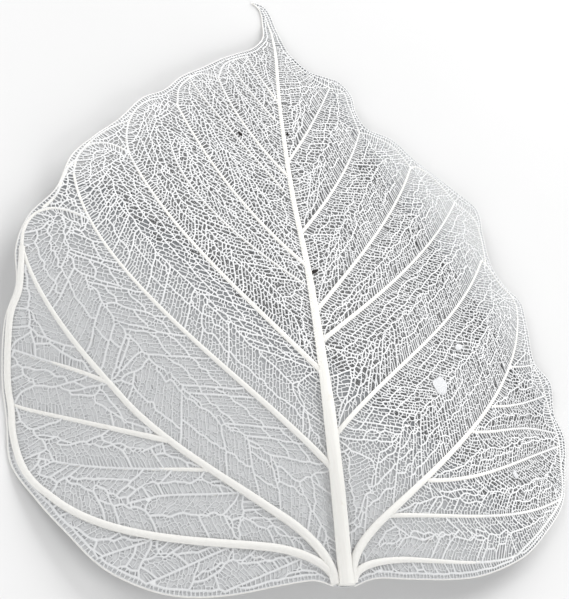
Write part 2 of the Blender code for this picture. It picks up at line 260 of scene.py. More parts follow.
def fibre_material(name, pale, dark, fleck, fleck_share, per_metre, roughness, bump):
    """Bleached plant fibre: two close tones in streaks or spots, and rare brown flecks.

    The piece's own attribute mixes in a grey, for the film of old tissue and as painted shade.
    """
    material = bpy.data.materials.new(name)
    material.use_nodes = True
    tree = material.node_tree
    shader = tree.nodes['Principled BSDF']
    place = add(tree, 'ShaderNodeTexCoord').outputs['Object']
    stretched = add(tree, 'ShaderNodeMapping', {'Vector': place, 'Scale': per_metre})
    streaks = noise(tree, stretched.outputs['Vector'], scale=1.0, detail=3.0)
    tones = mixed(tree, streaks, linear(dark), linear(pale))
    spots = noise(tree, place, scale=FLECKS_PER_METRE, detail=2.0)
    where = add(tree, 'ShaderNodeMapRange',
                {'Value': spots, 'From Min': FLECK_STARTS, 'From Max': FLECK_FULL,
                 'To Min': 0.0, 'To Max': fleck_share}).outputs['Result']
    flecked = mixed(tree, where, tones, linear(fleck))
    relief = add(tree, 'ShaderNodeBump',
                 {'Height': streaks, 'Strength': bump, 'Distance': FURROW_DEPTH})
    clean_and_lit = add(tree, 'ShaderNodeAttribute', attribute_name='clean_and_lit').outputs['Fac']
    filmed_and_shaded = mixed(tree, clean_and_lit, linear(OLD_TISSUE_AND_SHADE), flecked)
    tree.links.new(filmed_and_shaded, shader.inputs['Base Color'])
    tree.links.new(relief.outputs['Normal'], shader.inputs['Normal'])
    shader.inputs['Roughness'].default_value = roughness
    shader.inputs['IOR'].default_value = 1.5
    shader.inputs['Specular IOR Level'].default_value = 0.3
    return material


# Bleached fibre of the midrib: cream white, streaked lengthwise by fibres about 0.2 mm wide and
# several mm long, matt with a faint gloss like dry raffia.
midrib_fibre = fibre_material('bleached_midrib_fibre', '#F3F2EE', '#E9E7E1', '#C6B89F',
                              fleck_share=0.3, per_metre=(5000.0, 250.0, 2500.0),
                              roughness=0.62, bump=0.35)

midrib_line = through(MIDRIB)
midrib_widths = [float(np.interp(p.y, *zip(*MIDRIB_WIDTHS))) for p in midrib_line]
bm = bmesh.new()
grow_vein(bm, midrib_line, midrib_widths, MIDRIB_SIDES, MIDRIB_FLATNESS, MIDRIB_RIDGE)
lay_piece('midrib', bm, midrib_fibre)

# Side veins
# The laterals are thinner bundles of the same bleached fibre, which grow out of the midrib at 40
# to 50 degrees and arch up to the margin. On each side two stouter ones leave at the cut base
# itself, and feed the lobe through branches of their own.

# Each vein is a row of handles in mm, its width at its root and at its end. Its curves take four
# handles each, and the last of one is the first of the next.
CURVE = 3
SIDE_VEINS = {
    'r1': ([(0.9, 0.2), (1.6, 2.6), (6.4, 3.0), (10.7, 3.0), (18.6, 2.7), (26.7, 1.4),
            (34.5, 3.5)], 1.32, 0.45),
    'r2': ([(0.7, -0.2), (0.2, 3.4), (4.2, 6.8), (8.3, 9.6), (23.5, 19.9), (44.5, 32.9),
            (50.2, 50.6)], 1.54, 0.45),
    'r3': ([(1.3, 22.4), (15.0, 35.9), (32.8, 45.0), (43.5, 61.6)], 0.88, 0.45),
    'r4': ([(1.1, 38.6), (15.7, 49.6), (29.6, 60.0), (40.5, 75.0)], 0.88, 0.41),
    'r5': ([(1.4, 44.4), (12.1, 56.1), (23.5, 68.0), (31.2, 82.0)], 0.79, 0.43),
    'r6': ([(1.1, 60.0), (8.4, 68.5), (15.2, 77.7), (19.9, 88.0)], 0.7, 0.41),
    'r7': ([(1.2, 76.0), (6.4, 83.1), (10.8, 90.8), (15.0, 98.5)], 0.6, 0.38),
    'l1': ([(-2.1, 0.2), (-3.0, 3.6), (-9.6, 5.2), (-13.1, 5.5), (-22.3, 6.6), (-36.1, 6.6),
            (-42.9, 13.5)], 1.32, 1.0),
    'l2': ([(-2.2, -0.2), (-2.5, 4.4), (-6.6, 7.8), (-10.3, 10.1), (-17.9, 15.3), (-26.3, 19.8),
            (-32.2, 27.0), (-37.9, 34.6), (-45.0, 41.8), (-46.8, 51.6), (-47.0, 57.6),
            (-43.2, 61.6), (-36.9, 58.0)], 1.54, 0.54),
    'l3': ([(-0.1, 17.2), (-13.8, 32.3), (-36.7, 46.7), (-38.6, 66.5), (-38.3, 72.4),
            (-34.4, 75.4), (-29.3, 72.3)], 1.19, 0.38),
    'l4': ([(0.5, 33.5), (-11.0, 45.4), (-24.1, 57.5), (-29.2, 72.0), (-30.4, 77.6), (-27.6, 84.0),
            (-23.3, 85.7)], 1.01, 0.36),
    'l5': ([(1.1, 53.5), (-8.6, 61.8), (-15.5, 73.0), (-19.4, 85.1)], 0.77, 0.45),
    'l6': ([(1.0, 72.3), (-4.4, 78.2), (-8.8, 86.2), (-10.2, 94.3)], 0.66, 0.41),
    'l7': ([(2.0, 90.2), (0.2, 94.0), (-2.0, 97.8), (-3.0, 102.0)], 0.55, 0.38),
}

# Branches of the basal bundles, out to the lobes.
BRANCHES = {
    'r2a': ([(8.6, 9.8), (22.6, 10.1), (36.4, 8.5), (49.1, 13.6)], 0.8, 0.42),
    'r2b': ([(17.9, 15.6), (30.5, 15.5), (41.6, 20.8), (53.0, 23.9)], 0.75, 0.4),
    'r2c': ([(30.0, 24.6), (37.9, 24.6), (45.2, 28.2), (52.9, 26.6)], 0.55, 0.36),
    'r2d': ([(36.3, 29.8), (42.1, 30.3), (47.3, 32.1), (52.3, 33.8)], 0.5, 0.36),
    'r2e': ([(43.6, 38.4), (46.0, 38.9), (48.3, 39.0), (50.4, 39.8)], 0.45, 0.32),
    'l1a': ([(-17.2, 6.0), (-21.9, 4.4), (-26.1, 2.7), (-30.3, 1.3)], 0.55, 0.34),
    'l1b': ([(-29.4, 7.1), (-31.4, 6.2), (-35.2, 5.6), (-37.2, 4.7)], 0.45, 0.32),
    'l1c': ([(-6.4, 4.0), (-10.9, 2.3), (-15.3, 1.1), (-19.3, -0.3)], 0.5, 0.32),
    'l2a': ([(-26.5, 21.1), (-34.8, 22.8), (-40.7, 25.2), (-47.5, 27.0)], 0.9, 0.6),
    'l2b': ([(-20.6, 16.7), (-29.1, 16.9), (-36.0, 16.7), (-42.1, 18.5)], 0.7, 0.36),
    'l2c': ([(-34.2, 29.8), (-39.2, 32.3), (-43.3, 33.5), (-47.9, 34.9)], 0.75, 0.5),
    'l2d': ([(-15.4, 13.4), (-19.8, 12.9), (-26.8, 13.3), (-28.9, 12.8)], 0.5, 0.32),
}
SIDE_VEIN_SIDES = 10
FEWEST_POINTS = 4
FAST_TAPER = 1.7


def vein_line(handles):
    """Points about one step apart along the curves of a row of handles."""
    line = []
    for n in range(0, len(handles) - 1, CURVE):
        corners = [Vector((*p, 0.0)) for p in handles[n:n + CURVE + 1]]
        length = sum((b - a).length for a, b in zip(corners, corners[1:]))
        points = geometry.interpolate_bezier(*corners, max(FEWEST_POINTS, round(length / STEP)))
        line += [p.to_2d() for p in points[1 if line else 0:]]
    return line


def tapering(count, root, end, taper=FAST_TAPER):
    """Widths along a vein that narrows evenly, or fast at its root and then slowly."""
    return [end + (root - end) * (1.0 - i / (count - 1)) ** taper for i in range(count)]


# Bleached fibre of the side veins: cream white as on the midrib and a little duller. They turn
# every way, so their fibres show as spots about half a millimetre across and not as streaks.
side_fibre = fibre_material('bleached_side_vein_fibre', '#F4F3EF', '#E9E7E2', '#C4B9A5',
                            fleck_share=0.2, per_metre=(2200.0, 2200.0, 2200.0),
                            roughness=0.66, bump=0.25)

side_lines = {}
bm = bmesh.new()
for veins in (SIDE_VEINS, BRANCHES):
    for name, (handles, root, end) in veins.items():
        line = vein_line(handles)
        side_lines[name] = line
        grow_vein(bm, line, tapering(len(line), root, end), sides=SIDE_VEIN_SIDES)
lay_piece('side_veins', bm, side_fibre)

# Arches and veins between the laterals
# Near the margin each lateral bends over and joins the next in a string of arches, thin bundles
# of the same fibre. On the upper left other thin veins run between the laterals, from the midrib
# to the arches.

# Each arch is a row of points in mm, its width at its root and at its end.
ARCHES = {
    'left_lobe': ([(-42.9, 13.5), (-44.9, 15.5), (-46.4, 18.2), (-47.5, 22.5), (-47.8, 26.6),
                   (-48.4, 30.9), (-48.6, 35.7), (-48.4, 40.2), (-47.3, 44.0), (-47.0, 48.0),
                   (-46.8, 51.6)], 1.0, 0.9),
    'l2_l3': ([(-43.6, 59.2), (-42.4, 60.6), (-41.3, 62.4), (-40.3, 65.4), (-39.3, 68.0),
               (-38.3, 69.2)], 0.6, 0.42),
    'l3_l4': ([(-37.6, 70.8), (-35.2, 74.0), (-32.4, 76.8), (-29.3, 79.0), (-28.6, 79.6)],
              0.4, 0.36),
    'l5_l6': ([(-19.4, 85.1), (-18.3, 90.0), (-14.2, 94.2), (-10.2, 94.3)], 0.42, 0.36),
    'l6_l7': ([(-10.2, 94.3), (-8.5, 98.2), (-5.3, 100.8), (-3.0, 102.0)], 0.4, 0.36),
    'right_lobe': ([(34.5, 3.5), (42.0, 8.0), (49.1, 13.6), (51.9, 19.0), (53.3, 24.0),
                    (53.5, 27.5), (52.6, 33.7), (51.7, 37.4), (50.4, 39.8)], 0.46, 0.42),
    'r2_r3': ([(50.2, 50.6), (50.5, 52.7), (49.6, 54.9), (47.0, 57.3), (45.2, 60.0),
               (43.5, 61.6)], 0.46, 0.42),
    'r3_r4': ([(44.4, 60.6), (44.8, 64.0), (45.0, 67.8), (44.4, 71.8), (40.5, 75.0)], 0.45, 0.4),
    'r4_r5': ([(40.5, 75.0), (36.8, 80.3), (33.4, 82.4), (31.2, 82.0)], 0.42, 0.38),
    'r5_r6': ([(31.2, 82.0), (27.8, 86.7), (22.6, 88.1), (19.9, 88.0)], 0.42, 0.38),
    'r6_r7': ([(19.9, 88.0), (18.9, 94.5), (18.2, 98.4), (15.0, 98.5)], 0.42, 0.36),
    'r7_tip': ([(15.0, 98.5), (11.0, 100.3), (7.6, 103.6)], 0.4, 0.34),
}
# Each vein between the laterals is one curve.
BETWEEN = {
    'l6_7': [(0.4, 85.9), (-2.7, 90.0), (-5.4, 94.3), (-7.3, 99.1)],
    'l5_6': [(-0.8, 69.2), (-5.9, 76.2), (-13.0, 85.7), (-16.3, 92.8)],
    'l4_5': [(0.2, 49.7), (-8.4, 55.0), (-20.2, 64.0), (-21.5, 74.8)],
}
BETWEEN_WIDTH = (0.48, 0.4)
BETWEEN_SIDES = 6
EVEN_TAPER = 1.0

arch_lines = {name: through(points) for name, (points, _, _) in ARCHES.items()}
between_lines = {name: vein_line(handles) for name, handles in BETWEEN.items()}
bm = bmesh.new()
for name, line in arch_lines.items():
    grow_vein(bm, line, tapering(len(line), *ARCHES[name][1:], taper=EVEN_TAPER))
for line in between_lines.values():
    widths = tapering(len(line), *BETWEEN_WIDTH, taper=EVEN_TAPER)
    grow_vein(bm, line, widths, sides=BETWEEN_SIDES)
lay_piece('arches', bm, side_fibre)

# Margin vein
# A fine vein of the same fibre grew all round the scalloped edge, from one side of the cut base
# over the drip tip to the other. It is what keeps the net from fraying.

# Points in mm, on each side from the base up.
RIGHT_MARGIN = [
    (1.0, -0.5), (5.0, 0.5), (10.9, 0.2), (19.6, -0.1), (27.0, 0.6), (36.3, 3.4),
    (43.5, 7.9), (48.8, 12.4), (52.2, 17.9), (55.0, 25.1), (54.1, 30.7), (54.6, 36.6),
    (51.2, 40.6), (52.1, 48.3), (52.1, 53.8), (48.3, 56.7), (45.8, 61.3), (45.8, 68.2),
    (46.2, 74.2), (41.9, 77.9), (36.6, 81.8), (32.5, 84.8), (28.1, 88.6), (22.2, 89.7),
    (20.3, 93.3), (20.2, 98.0), (17.8, 101.0), (14.3, 101.4), (10.4, 102.0), (7.3, 106.1),
    (6.5, 111.6), (6.0, 117.0), (4.6, 120.4),
]
TIP_END = (1.7, 120.9)
LEFT_MARGIN = [
    (-2.4, -0.3), (-5.5, 0.6), (-10.5, 0.2), (-18.8, -0.8), (-25.8, -0.7), (-31.4, 0.8),
    (-36.7, 3.8), (-40.9, 8.4), (-44.5, 13.0), (-47.7, 18.5), (-48.3, 25.0), (-49.1, 32.0),
    (-49.1, 39.0), (-47.6, 45.0), (-47.6, 51.5), (-45.6, 57.7), (-41.4, 63.3), (-38.8, 70.1),
    (-34.9, 74.8), (-30.3, 79.5), (-25.9, 85.2), (-21.5, 88.3), (-17.5, 92.9), (-13.0, 96.3),
    (-9.0, 99.6), (-5.4, 102.1), (-1.0, 105.3), (2.3, 110.0), (3.5, 115.2), (3.3, 119.4),
]
MARGIN_WIDTH = 0.28

margin_line = through([*RIGHT_MARGIN, TIP_END, *reversed(LEFT_MARGIN)])
bm = bmesh.new()
grow_vein(bm, margin_line, [MARGIN_WIDTH] * len(margin_line))
lay_piece('margin_vein', bm, side_fibre)

# Net
# Between the veins the blade is gone and only its net is left, bleached threads of fibre that
# grew into the veins on all sides. Cross veins slant outwards from each lateral and meet in a
# zigzag midway, and strands a fifth of a millimetre wide close narrow meshes between them.

NET_SEED = 23
draw = random.Random(NET_SEED)

# For each side of a vein: the angle in degrees at which its rungs leave it, the angle of its cross
# veins at its root and farther out, and how long the rungs are in mm.
LOWER_LEFT = ((42.0, 38.0, 38.0, 1.1), (60.0, 56.0, 54.0, 1.4))
LEFT = ((32.0, 30.0, 30.0, 1.1), (66.0, 42.0, 42.0, 1.2))
UPPER_LEFT = ((32.0, 30.0, 30.0, 1.0), (66.0, 25.0, 25.0, 1.2))
BETWEEN_LEFT = ((32.0, 28.0, 28.0, 0.9), (62.0, 30.0, 30.0, 0.9))
RIGHT = ((50.0, 20.0, 54.0, 2.3), (62.0, 45.0, 45.0, 1.35))
RIGHT_LOBE = ((58.0, 46.0, 46.0, 0.9), (55.0, 42.0, 42.0, 1.2))
BESIDE_MIDRIB = ((58.0, 58.0, 58.0, 1.5), (66.0, 64.0, 64.0, 1.4))
BESIDE_ARCH = ((80.0, 72.0, 72.0, 1.1), (80.0, 72.0, 72.0, 1.1))

# Every vein that the net hangs on, with what leaves it on its left and on its right.
hung_on = [(midrib_line, BESIDE_MIDRIB)]
for name, line in side_lines.items():
    if name[0] == 'r':
        hung_on.append((line, RIGHT_LOBE if name in BRANCHES else RIGHT))
    elif name >= 'l5':
        hung_on.append((line, UPPER_LEFT))
    else:
        hung_on.append((line, LEFT if name == 'l4' else LOWER_LEFT))
hung_on += [(line, BETWEEN_LEFT) for line in between_lines.values()]
hung_on += [(line, BESIDE_ARCH) for line in arch_lines.values()]
# The margin comes last, closed across the cut base.
CUT_BASE = (-0.7, -0.7)
margin_index = len(hung_on)
edge_line = margin_line + through([LEFT_MARGIN[0], CUT_BASE, RIGHT_MARGIN[0]])[1:]
hung_on.append((edge_line, None))

samples = [(k, i) for k, (line, _) in enumerate(hung_on) for i in range(len(line))]
vein_tree = kdtree.KDTree(len(samples))
for n, (k, i) in enumerate(samples):
    vein_tree.insert(hung_on[k][0][i].to_3d(), n)
vein_tree.balance()


def nearest_vein(point):
    """Which vein is nearest to a point, how far it is, and on which side of it the point lies."""
    _, n, distance = vein_tree.find(point.to_3d())
    k, i = samples[n]
    line = hung_on[k][0]
    side = tangent(line, i).cross(point - line[i])
    return k, distance, side


def foot_on_vein(point):
    """The point of the nearest vein's line that is closest to a given point."""
    _, n, _ = vein_tree.find(point.to_3d())
    k, i = samples[n]
    line = hung_on[k][0]
    ahead = tangent(line, i)
    return line[i] + ahead * (point - line[i]).dot(ahead)


def at(line, s):
    """Point and direction at a distance along a line of even steps."""
    i = min(int(s / STEP), len(line) - 2)
    share = min(s / STEP - i, 1.0)
    return line[i].lerp(line[i + 1], share), tangent(line, i)


def slanted(line, s, slant, side):
    """Where something leaves a vein, and the direction that it takes from there."""
    point, ahead = at(line, s)
    out = ahead.copy()
    out.rotate(Matrix.Rotation(math.radians(slant) * side, 2))
    return point, out


# Centres of the meshes. Those of one chain become one long mesh. The place of a mesh is its
# vein, its field between stouter strands, its strip between cross veins and its section between
# two links. Neighbours are found by squares of the side SQUARE in mm.
SQUARE = 0.8
centres = []
chains = []
places = []
squares = {}


def near(point, spacing, chain=-1):
    """True if a mesh centre of another chain is closer to the point than the spacing."""
    column = int(point.x // SQUARE)
    row = int(point.y // SQUARE)
    for i in (column - 1, column, column + 1):
        for j in (row - 1, row, row + 1):
            for n in squares.get((i, j), ()):
                if chains[n] != chain and (centres[n] - point).length < spacing:
                    return True
    return False


def plant(point, chain, place):
    """Add a mesh centre."""
    square = (int(point.x // SQUARE), int(point.y // SQUARE))
    squares.setdefault(square, []).append(len(centres))
    centres.append(point)
    chains.append(chain)
    places.append(place)


# Rows of meshes along the margin, and their mirror images outside, which only close the net. In
# mm: how far apart they are, how far from the margin, and how near two centres may be. The row is
# narrower where another vein runs beside it, and every third mesh begins a strip.
MARGIN_PITCH = 0.62
MARGIN_ROW = 0.42
NEAREST_CHAIN = 0.34
NARROWED = 0.7
MARGIN_STRIP = 3
chain = 0
outside = set()
for i in range(int((len(edge_line) - 1) * STEP / MARGIN_PITCH)):
    point, ahead = at(edge_line, i * MARGIN_PITCH)
    across = Vector((-ahead.y, ahead.x)) * MARGIN_ROW
    if nearest_vein(point + across * 2)[0] != margin_index:
        across *= NARROWED
    chain += 1
    if not near(point + across, NEAREST_CHAIN):
        plant(point + across, chain, (margin_index, 0, i // MARGIN_STRIP, 0))
        outside.add(len(centres))
        plant(point - across, chain, (margin_index, 0, i // MARGIN_STRIP, 0))

# Rungs against every vein, between the roots of its cross veins. In mm, measured square to them:
# the gaps between cross veins and between rungs, and the step between the centres of one chain.
CROSS_VEIN_GAP = 1.4
RUNG_GAP = 0.5
FEWEST_RUNGS = 2
FIRST_CENTRE = 0.36
CHAIN_STEP = 0.4
# Where the first cross vein stands in mm, and by what factors gaps and rungs vary.
FIRST_CROSS_VEIN = (0.2, 1.0)
GAPS_VARY = (0.75, 1.25)
RUNGS_VARY = (0.7, 1.3)
# How far out along a vein, as a share of its length, its cross veins have turned outwards.
TURNED_OUT = 0.4
# How often a new field begins, by how many degrees its cross veins lean, and how many stouter
# links cross it, so many mm apart.
STOUT_SHARE = 0.35
LEAN = 7.0
STOUT_LINKS = 6
STOUT_LINK_GAP = (2.5, 6.0)
# How often a rung's mesh is closed off at its next step.
RUNG_CLOSES = 0.12
strips = []
rung_meshes = set()
for k, (line, sides) in enumerate(hung_on[:margin_index]):
    for side, (rungs_out, at_root, outwards, rung_length) in zip((1, -1), sides):
        length = (len(line) - 1) * STEP
        field = 0
        s = draw.uniform(*FIRST_CROSS_VEIN)
        while s < length:
            slant = at_root + (outwards - at_root) * min(s / (TURNED_OUT * length), 1.0)
            rung_slant = rungs_out * slant / outwards
            rung_slope = math.sin(math.radians(rung_slant))
            slope = math.sin(math.radians(slant))
            gap = CROSS_VEIN_GAP / slope * draw.uniform(*GAPS_VARY)
            if field == 0 or draw.random() < STOUT_SHARE:
                field += STOUT_LINKS
                lean = draw.uniform(-LEAN, LEAN) * slope
                gaps = [draw.uniform(*STOUT_LINK_GAP) for _ in range(STOUT_LINKS)]
                stout_links = list(accumulate(gaps))
            reach = rung_length * draw.uniform(*RUNGS_VARY)
            strips.append((k, side, rung_slant, slant + lean, s, gap, field, reach, stout_links))
            rungs = max(FEWEST_RUNGS, round(gap * rung_slope / RUNG_GAP))
            for rung in range(rungs):
                point, out = slanted(line, s + gap * (rung + 0.5) / rungs, rung_slant, side)
                chain += 1
                a = FIRST_CENTRE / rung_slope
                while a < reach:
                    here = point + out * a
                    owner, _, offside = nearest_vein(here)
                    if owner != k or offside * side < 0 or near(here, NEAREST_CHAIN, chain):
                        break
                    chain += draw.random() < RUNG_CLOSES
                    rung_meshes.add(len(centres))
                    plant(here, chain, (k * 2 + side, field, len(strips), 0))
                    a += CHAIN_STEP
            s += gap

# The strips between the cross veins, out to where another vein is nearer. In mm: how wide their
# meshes are, how near two centres may be, how far a centre strays, and how long a strip can be.
MESH_WIDTH = 0.57
NEAREST_CENTRE = 0.38
JITTER = 0.05
LONGEST_CROSS_VEIN = 14.0
# Also in mm: how far past midway a strip may go, where its first link is and the gaps after it.
PAST_MIDWAY = (-0.5, 0.9)
FIRST_LINK = (0.0, 1.5)
LINK_GAP = (1.6, 4.0)
# In chain steps: where a row of meshes begins, how its steps vary, and how long each mesh is.
ROW_BEGINS = (0.0, 0.8)
STEPS_VARY = (0.9, 1.1)
MESH_STEPS = (1, 2, 2, 2, 3)
for strip, (k, side, rung_slant, slant, s, gap, field, reach, stout_links) in enumerate(strips):
    line = hung_on[k][0]
    slope = math.sin(math.radians(slant))
    columns = max(1, round(gap * slope / MESH_WIDTH))
    beyond = draw.uniform(*PAST_MIDWAY)
    links = [draw.uniform(*FIRST_LINK)]
    while links[-1] < LONGEST_CROSS_VEIN:
        links.append(links[-1] + draw.uniform(*LINK_GAP))
    for column in range(columns):
        where = s + gap * (column + 0.5) / columns
        point, out = slanted(line, where, rung_slant, side)
        point += out * reach
        _, out = slanted(line, where, slant, side)
        section = -1
        steps = 0
        a = CHAIN_STEP * draw.uniform(*ROW_BEGINS)
        while a < LONGEST_CROSS_VEIN:
            here = point + out * a
            here += Vector((draw.uniform(-1, 1), draw.uniform(-1, 1))) * JITTER
            owner, distance, _ = nearest_vein(here)
            if owner != k and nearest_vein(here - out * beyond)[0] != k:
                break
            if owner == margin_index and distance < 2 * MARGIN_ROW:
                break
            passed = sum(a > link for link in links)
            if passed != section or steps == 0:
                section = passed
                chain += 1
                steps = draw.choice(MESH_STEPS)
            steps -= 1
            if not near(here, NEAREST_CENTRE, chain):
                beyond_stout = sum(a + reach > link for link in stout_links)
                plant(here, chain, (k * 2 + side, field + beyond_stout, strip + 1, section))
            a += CHAIN_STEP * draw.uniform(*STEPS_VARY)

# Meshes where the strips have left the blade bare, in patches of no order. In mm: how large the
# patches are, how wide a bare place may stay, and how closely the blade is searched for one. As
# shares: how far the search strays, and how much nearer to a vein than a rung's a mesh may be.
PATCH_SIZE = 2.2
WIDEST_BARE = 0.55
SEARCH = 0.3
STRAYS = 0.5
NEARER = 0.8
low, high = (Vector(limit(margin_line, axis=0)) for limit in (np.min, np.max))
patches = [Vector((x + draw.uniform(0, PATCH_SIZE), y + draw.uniform(0, PATCH_SIZE), 0.0))
           for x in np.arange(low.x, high.x, PATCH_SIZE)
           for y in np.arange(low.y, high.y, PATCH_SIZE)]
patch_tree = kdtree.KDTree(len(patches))
for n, patch in enumerate(patches):
    patch_tree.insert(patch, n)
patch_tree.balance()
for row in range(int((high.y - low.y) / SEARCH)):
    for column in range(int((high.x - low.x) / SEARCH)):
        here = low + Vector((column + draw.uniform(0, STRAYS),
                             row + draw.uniform(0, STRAYS))) * SEARCH
        if near(here, WIDEST_BARE):
            continue
        owner, distance, offside = nearest_vein(here)
        if distance < FIRST_CENTRE * NEARER or (owner == margin_index and offside < 0):
            continue
        chain += 1
        patch = patch_tree.find(here.to_3d())[1]
        plant(here, chain, (owner * 2 + (1 if offside > 0 else -1), 0, -patch, 0))


# Centres no farther apart than this, in mm, count as one.
ALIKE = 1e-6


def circle_centres(points, triangles):
    """Centres of the circles through the corners of each triangle."""
    p = np.array([points[i] for triangle in triangles for i in triangle]).reshape(-1, 3, 2)
    b = p[:, 1] - p[:, 0]
    c = p[:, 2] - p[:, 0]
    twice = 2.0 * (b[:, 0] * c[:, 1] - b[:, 1] * c[:, 0])
    bb = (b ** 2).sum(1)
    cc = (c ** 2).sum(1)
    x = (c[:, 1] * bb - b[:, 1] * cc) / twice
    y = (b[:, 0] * cc - c[:, 0] * bb) / twice
    return p[:, 0] + np.column_stack([x, y])


def meshes_round(centres):
    """Joints of the strands, which run midway between centres, and each mesh's ring of them."""
    points, _, triangles, origins, _, _ = geometry.delaunay_2d_cdt(centres, [], [], 0, ALIKE)
    joints = circle_centres(points, triangles)
    around = [[] for _ in points]
    for j, triangle in enumerate(triangles):
        for i in triangle:
            around[i].append(j)
    rings = {}
    for point, ring, origin in zip(points, around, origins):
        angles = np.arctan2(joints[ring, 1] - point.y, joints[ring, 0] - point.x)
        if origin:
            rings[origin[0]] = [ring[n] for n in np.argsort(angles)]
    return joints, rings


# The meshes even out: in each round each centre moves by a share of the way to the middle of its
# own mesh. The rungs stay where they are in the last rounds.
EVENING_ROUNDS = 4
RUNG_ROUNDS = 2
EVENING = 0.5
loose = {n for n, place in enumerate(places) if place[0] != margin_index and n not in outside}
for round_number in range(EVENING_ROUNDS):
    joints, rings = meshes_round(centres)
    moving = loose if round_number < RUNG_ROUNDS else loose - rung_meshes
    for n in moving & rings.keys():
        middle = Vector(joints[rings[n]].mean(0))
        centres[n] = centres[n].lerp(middle, EVENING)
joints, rings = meshes_round(centres)

# Each mesh is a face of a flat net, whose joints become one where they are as near as this in mm.
JOINED = 0.01
net = bmesh.new()
chain_layer = net.faces.layers.int.new('chain')
place_layers = [net.faces.layers.int.new(part) for part in ('vein', 'field', 'strip', 'section')]
half_layer = net.edges.layers.float.new('half')
tall_layer = net.verts.layers.float.new('tall')
clean_and_lit_layer = net.verts.layers.float.new('clean_and_lit')
film_layer = net.faces.layers.float.new('film')
verts = [net.verts.new((x, y, 0.0)) for x, y in joints]
for n, ring in rings.items():
    owner, _, offside = nearest_vein(centres[n])
    if n in outside or (owner == margin_index and offside < 0):
        continue
    face = net.faces.new([verts[j] for j in ring])
    face[chain_layer] = chains[n]
    for layer, number in zip(place_layers, places[n]):
        face[layer] = number
bmesh.ops.delete(net, geom=[vert for vert in net.verts if not vert.link_faces], context='VERTS')
bmesh.ops.remove_doubles(net, verts=net.verts[:], dist=JOINED)

# The meshes of one chain become one long mesh.
within = [edge for edge in net.edges if len(edge.link_faces) == 2
          and edge.link_faces[0][chain_layer] == edge.link_faces[1][chain_layer]]
bmesh.ops.dissolve_edges(net, edges=within, use_verts=True)

# Joints that lie at a vein move onto it, and the net's border onto the margin vein. In mm: how
# near they have to be, and how short a strand may be.
ON_VEIN = 0.26
ON_MARGIN = 1.0
SHORTEST_STRAND = 0.15
held_layer = net.verts.layers.int.new('held')
for vert in net.verts:
    foot = foot_on_vein(vert.co.to_2d())
    distance = (vert.co.to_2d() - foot).length
    owner, _, offside = nearest_vein(vert.co.to_2d())
    outside_leaf = owner == margin_index and offside < 0
    if distance < ON_VEIN or (vert.is_boundary and (distance < ON_MARGIN or outside_leaf)):
        vert.co = foot.to_3d()
        vert[held_layer] = 1
bmesh.ops.remove_doubles(net, verts=net.verts[:], dist=SHORTEST_STRAND)

# Half widths of the strands in mm, by what each one parts: two veins' meshes, two fields, two
# strips, two sections, or two meshes of one section. Those of the net's border are hidden in the
# margin vein. The stouter ones are swollen where film clings to them.
ZIGZAG_HALF = 0.122
STOUT_HALF = 0.12
CROSS_HALF = 0.105
LINK_HALF = 0.098
HALVES = (ZIGZAG_HALF, STOUT_HALF, CROSS_HALF, LINK_HALF)
FINE_HALF = 0.09
HIDDEN_HALF = 0.12
SWELLING = 0.7
# A strand is wider than another if it is so by more than this factor.
WIDER = 1.01
for edge in net.edges:
    faces = edge.link_faces
    if len(faces) < 2:
        edge[half_layer] = HIDDEN_HALF
        continue
    parted = [half for layer, half in zip(place_layers, HALVES)
              if faces[0][layer] != faces[1][layer]]
    edge[half_layer] = parted[0] if parted else FINE_HALF
    if edge[half_layer] > CROSS_HALF * WIDER:
        edge[half_layer] *= 1.0 + SWELLING * film(edge.verts[0].co)

# The stouter strands run smoothly: in each round their joints move by a share of the way to the
# middle of their neighbours on strands that are no more than LIKE_HALF mm finer.
SMOOTHING_ROUNDS = 3
SMOOTHING = 0.6
LIKE_HALF = 0.01
for _ in range(SMOOTHING_ROUNDS):
    moved = {}
    for vert in net.verts:
        widest = max(edge[half_layer] for edge in vert.link_edges)
        along = [edge.other_vert(vert) for edge in vert.link_edges
                 if edge[half_layer] > widest - LIKE_HALF]
        if widest > FINE_HALF * WIDER and len(along) == 2 and not vert[held_layer]:
            moved[vert] = vert.co.lerp((along[0].co + along[1].co) / 2, SMOOTHING)
    for vert, place in moved.items():
        vert.co = place

# How high strands are over the net's middle for their half width, and how clean of old tissue
# the finest and the stoutest are on top. Painted shade greys the net at the base and the left
# lobe more than the veins.
STRAND_HEIGHT = 1.5
CLEAN_FINE = 0.86
CLEAN_STOUT = 1.0
NET_SHADED = 0.36
for vert in net.verts:
    widest = max(edge[half_layer] for edge in vert.link_edges)
    vert[tall_layer] = min(STRAND_HEIGHT * widest, NET_MIDDLE)
    stoutness = min((widest - FINE_HALF) / (STOUT_HALF - FINE_HALF), 1.0)
    clean_and_lit = CLEAN_FINE + (CLEAN_STOUT - CLEAN_FINE) * stoutness
    vert[clean_and_lit_layer] = clean_and_lit_at(vert.co, clean_and_lit, NET_SHADED)

# In many meshes a strand never closes: it is left out here and grows below as a free end.
OPEN_SHARE = 0.3
free_ends = []
busy = set()
for edge in net.edges:
    a, b = edge.verts
    if edge.is_boundary or edge[half_layer] > FINE_HALF * WIDER or a in busy or b in busy:
        continue
    if len(a.link_edges) != 3 or len(b.link_edges) != 3 or draw.random() > OPEN_SHARE:
        continue
    if a[held_layer] or b[held_layer]:
        continue
    busy.update((a, b))
    start, end = (a, b) if draw.random() < 0.5 else (b, a)
    free_ends.append((start.co.to_2d(), end.co.to_2d(), edge))
bmesh.ops.dissolve_edges(net, edges=[edge for _, _, edge in free_ends], use_verts=False)

# Film closes the meshes from a share on that is drawn for each. There is a second stretch of it
# along the upper right margin, given as BASE_FILM is.
MARGIN_FILM = (1.75, 116.0, 140.0)
FILM_CLOSES = (0.0, 0.2)
for face in net.faces:
    middle = face.calc_center_median()
    share = max(film(middle), film(middle, MARGIN_FILM))
    face[film_layer] = share if share > draw.uniform(*FILM_CLOSES) else 0.0


